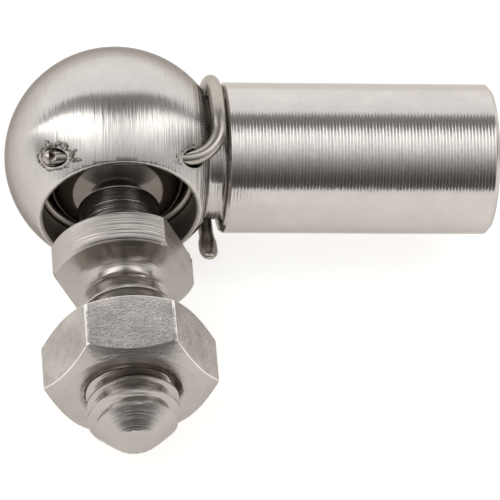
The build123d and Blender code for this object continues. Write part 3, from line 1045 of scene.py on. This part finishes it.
# And by its direction along the shank, from -1 at the left to 1 at the right.
SIDEWAYS = (
    (-1.0, 1.2), (-0.9, 1.7), (-0.8, 2.3), (-0.6, 2.0), (-0.45, 1.6), (-0.25, 1.1),
    (-0.1, 0.58), (0.0, 0.50), (0.135, 0.64), (0.27, 0.95), (0.38, 1.22), (0.5, 1.4),
    (0.62, 1.75), (0.72, 1.5), (0.83, 0.95), (1.0, 0.8),
)
# The softboxes are toed in: their edges swing back by this much for each step sideways, and
# their middle stands a little forward.
TOE_IN, FORWARD = 0.47, 0.063
# A ramp's colours stop at 1, so both tables are divided by more than their highest level, and
# the strength gives that back.
PEAK = 2.4
BRIGHTNESS = 1.1
WALL_FROM, WALL_FULL, WALL_LEVEL = 100.0, 118.0, 0.98
ENDS_FROM, ENDS_FULL, ROOM_LEVEL = 0.5, 0.9, 0.9


def studio_dome():
    """Soft studio light as a dome: its level depends only on the direction it comes from."""
    world = bpy.data.worlds.new("studio")
    world.use_nodes = True
    tree = world.node_tree
    tree.nodes.clear()
    where = add(tree, "ShaderNodeTexCoord")
    parts = add(tree, "ShaderNodeSeparateXYZ", {0: where.outputs["Generated"]})
    found = dict(zip("xyz", parts.outputs))
    for name, operation, *terms in (
        ("off", "ABSOLUTE", "x"),
        ("toe", "MULTIPLY", "off", TOE_IN),
        ("swung", "SUBTRACT", "toe", FORWARD),
        ("front", "SUBTRACT", "swung", "y"),
        ("turn", "ARCTAN2", "z", "front"),
        ("degrees", "DEGREES", "turn"),
    ):
        terms = {i: found.get(term, term) for i, term in enumerate(terms)}
        found[name] = add(tree, "ShaderNodeMath", terms, operation=operation)
    for name, value, stops in (("rise", found["degrees"], RISE), ("side", found["x"], SIDEWAYS)):
        low, high = stops[0][0], stops[-1][0]
        share = add(tree, "ShaderNodeMapRange", {
            "Value": value, "From Min": low, "From Max": high,
        })
        ramp = add(tree, "ShaderNodeValToRGB", {"Fac": share})
        points = ramp.color_ramp.elements
        while len(points) < len(stops):
            points.new(0.5)
        for point, (place, level) in zip(points, stops):
            point.position = (place - low) / (high - low)
            point.color = [level / PEAK] * 3 + [1]
        found[name] = ramp
    # The wall behind is lit evenly from side to side.
    behind = add(tree, "ShaderNodeMapRange", {
        "Value": found["degrees"], "From Min": WALL_FROM, "From Max": WALL_FULL,
    })
    even = add(tree, "ShaderNodeMix", {
        "Factor": behind, 6: found["side"], 7: [WALL_LEVEL / PEAK] * 3 + [1],
    }, data_type="RGBA")
    level = add(tree, "ShaderNodeVectorMath", {
        0: found["rise"], 1: even.outputs[2],
    }, operation="MULTIPLY")
    # Past the softboxes' ends the front of the room is even.
    past = add(tree, "ShaderNodeMapRange", {
        "Value": found["off"], "From Min": ENDS_FROM, "From Max": ENDS_FULL,
    }, interpolation_type="SMOOTHSTEP")
    ahead = add(tree, "ShaderNodeMapRange", {
        "Value": found["y"], "From Min": 0.0, "From Max": -0.3,
    }, interpolation_type="SMOOTHSTEP")
    ends = add(tree, "ShaderNodeMath", {0: past, 1: ahead}, operation="MULTIPLY")
    room = add(tree, "ShaderNodeMix", {
        "Factor": ends, 6: level, 7: [ROOM_LEVEL / PEAK**2] * 3 + [1],
    }, data_type="RGBA")
    air = add(tree, "ShaderNodeBackground", {
        "Color": room.outputs[2], "Strength": BRIGHTNESS * PEAK**2,
    })
    add(tree, "ShaderNodeOutputWorld", {"Surface": air})
    return world


class SetStage(bpy.types.Operator):
    """Sets the floor, the lights and the camera"""

    bl_idname = "ball_joint.set_stage"
    bl_label = "Stage"

    def execute(self, context):
        scene, s = context.scene, context.scene.joint_studio
        # Paper lit from below as well, so that it stays pale round the joint.
        paper = bpy.data.materials.new("Studio_paper")
        paper.use_nodes = True
        paper.node_tree.nodes.clear()
        matt = add(paper.node_tree, "ShaderNodeBsdfPrincipled", {
            "Base Color": linear(s.floor), "Roughness": 0.8, "Specular IOR Level": 0.2,
            "Emission Color": linear(s.floor), "Emission Strength": 1.35,
        })
        add(paper.node_tree, "ShaderNodeOutputMaterial", {"Surface": matt})
        half, gap = 3.0, 0.0001
        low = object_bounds()[0].z - gap
        floor_mesh = bpy.data.meshes.new("floor")
        floor_mesh.from_pydata([(-half, -half, low), (half, -half, low), (half, half, low),
                                (-half, half, low)], [], [(0, 1, 2, 3)])
        floor_mesh.materials.append(paper)
        floor = linked("floor", floor_mesh)
        floor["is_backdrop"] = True

        scene.world = studio_dome()
        scene.view_settings.view_transform = "Standard"

        a, e = s.azimuth, s.elevation
        right = Vector((math.cos(a), math.sin(a), 0))
        back = Vector((math.sin(a) * math.cos(e), -math.cos(a) * math.cos(e), math.sin(e)))
        up = back.cross(right)
        level = math.cos(s.roll) * right + math.sin(s.roll) * up
        upright = math.cos(s.roll) * up - math.sin(s.roll) * right
        data = bpy.data.cameras.new("camera")
        data.lens, data.clip_start = s.lens, 0.01
        camera = bpy.data.objects.new("camera", data)
        place = back * s.distance - level * s.right - upright * s.up
        turn = Matrix((level, upright, back)).transposed()
        camera.matrix_world = Matrix.Translation(place) @ turn.to_4x4()
        scene.collection.objects.link(camera)
        scene.camera = camera
        return {"FINISHED"}


OPERATORS = (MakeSocket, MakeStud, MakeNut, MakeClip, MakeRing, SetStage)


class BallJointPanel(bpy.types.Panel):
    """Lists the joint's pieces, sizes and finishes"""

    bl_idname = "VIEW3D_PT_ball_joint"
    bl_label = "Ball joint"
    bl_space_type = "VIEW_3D"
    bl_region_type = "UI"
    bl_category = "Ball joint"

    def draw(self, context):
        for operator in OPERATORS:
            self.layout.operator(operator.bl_idname)
        for group, kind in GROUPS.items():
            box = self.layout.box()
            for name in kind.__annotations__:
                box.prop(getattr(context.scene, group), name)


def register():
    for kind in (*GROUPS.values(), *OPERATORS, BallJointPanel):
        bpy.utils.register_class(kind)
    for group, kind in GROUPS.items():
        setattr(bpy.types.Scene, group, bpy.props.PointerProperty(type=kind))


def unregister():
    for group in GROUPS:
        delattr(bpy.types.Scene, group)
    for kind in reversed((*GROUPS.values(), *OPERATORS, BallJointPanel)):
        bpy.utils.unregister_class(kind)


def main():
    register()
    for old in ("Cube", "Light", "Camera"):
        if old in bpy.data.objects:
            bpy.data.objects.remove(bpy.data.objects[old])
    bpy.ops.ball_joint.make_socket()
    bpy.ops.ball_joint.make_stud()
    bpy.ops.ball_joint.make_nut()
    bpy.ops.ball_joint.make_clip()
    bpy.ops.ball_joint.make_ring()
    bpy.ops.ball_joint.set_stage()


if __name__ == "__main__":
    main()
